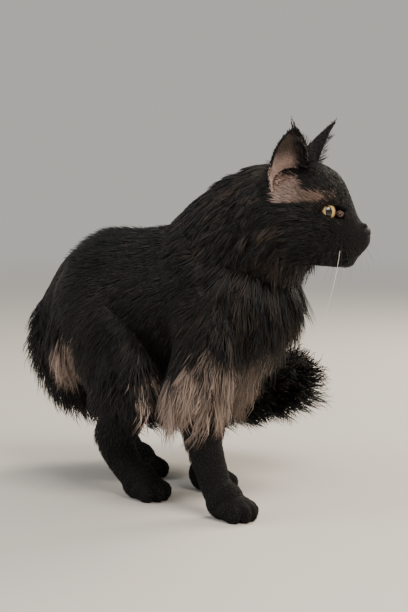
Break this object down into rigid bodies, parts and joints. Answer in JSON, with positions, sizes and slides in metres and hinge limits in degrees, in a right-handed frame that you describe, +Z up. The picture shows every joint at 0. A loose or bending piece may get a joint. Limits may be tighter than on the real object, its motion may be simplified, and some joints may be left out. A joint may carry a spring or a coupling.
{
  "type": "maine coon cat",
  "caption": "Life-size still model of a black smoke maine coon cat, standing with feet gathered, head raised and turned to its left, plumed tail curved round its far side",
  "frame": {"origin": "on the floor under the middle of the cat's bounding box, with the paws standing at Z = 0", "axes": "+X is the way the body heads, from rump to chest, and its longest extent, +Y is the cat's left side, +Z is up"},
  "size_m": [0.4958, 0.311, 0.4458],
  "materials": {
    "coat": "black smoke fur with pale roots on the belly, breeches and ears, long and soft",
    "iris": "gold iris and dark pupil under a clear, wet cornea",
    "nose": "fine-grained black nose leather, slightly moist"
  },
  "bodies": {
    "root": {"head": "coat", "ear_right": "coat", "ear_left": "coat", "eye_right": "iris", "eye_left": "iris", "nose_leather": "nose", "neck": "coat", "torso": "coat", "foreleg_right": "coat", "foreleg_left": "coat", "forepaw_right": "coat", "forepaw_left": "coat", "thigh_right": "coat", "thigh_left": "coat", "hindleg_right": "coat", "hindleg_left": "coat", "hindpaw_right": "coat", "hindpaw_left": "coat", "tail_root": "coat", "tail_bend": "coat", "tail_far_side": "coat", "tail_end": "coat"}
  },
  "joints": []
}
